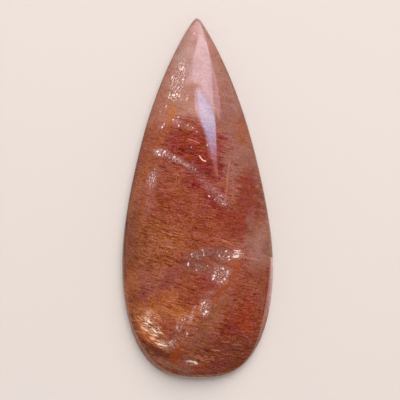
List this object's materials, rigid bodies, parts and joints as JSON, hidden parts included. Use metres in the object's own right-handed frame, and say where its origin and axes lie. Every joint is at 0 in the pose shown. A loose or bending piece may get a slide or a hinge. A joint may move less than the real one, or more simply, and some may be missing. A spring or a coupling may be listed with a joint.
{
  "type": "sunstone cabochon",
  "caption": "Pear-shaped polished sunstone cabochon with a domed top, a narrow girdle wall and a flat back, for setting in a bezel or gluing to a pad.",
  "frame": {"origin": "middle of the length and width, on the flat back", "axes": "+Y to the point of the pear, +Z out of the dome, +X to the right seen from above with the point up"},
  "size_m": [0.0168, 0.04, 0.0064],
  "materials": {
    "sunstone": "polished"
  },
  "bodies": {
    "root": {"cabochon": "sunstone"}
  },
  "joints": []
}
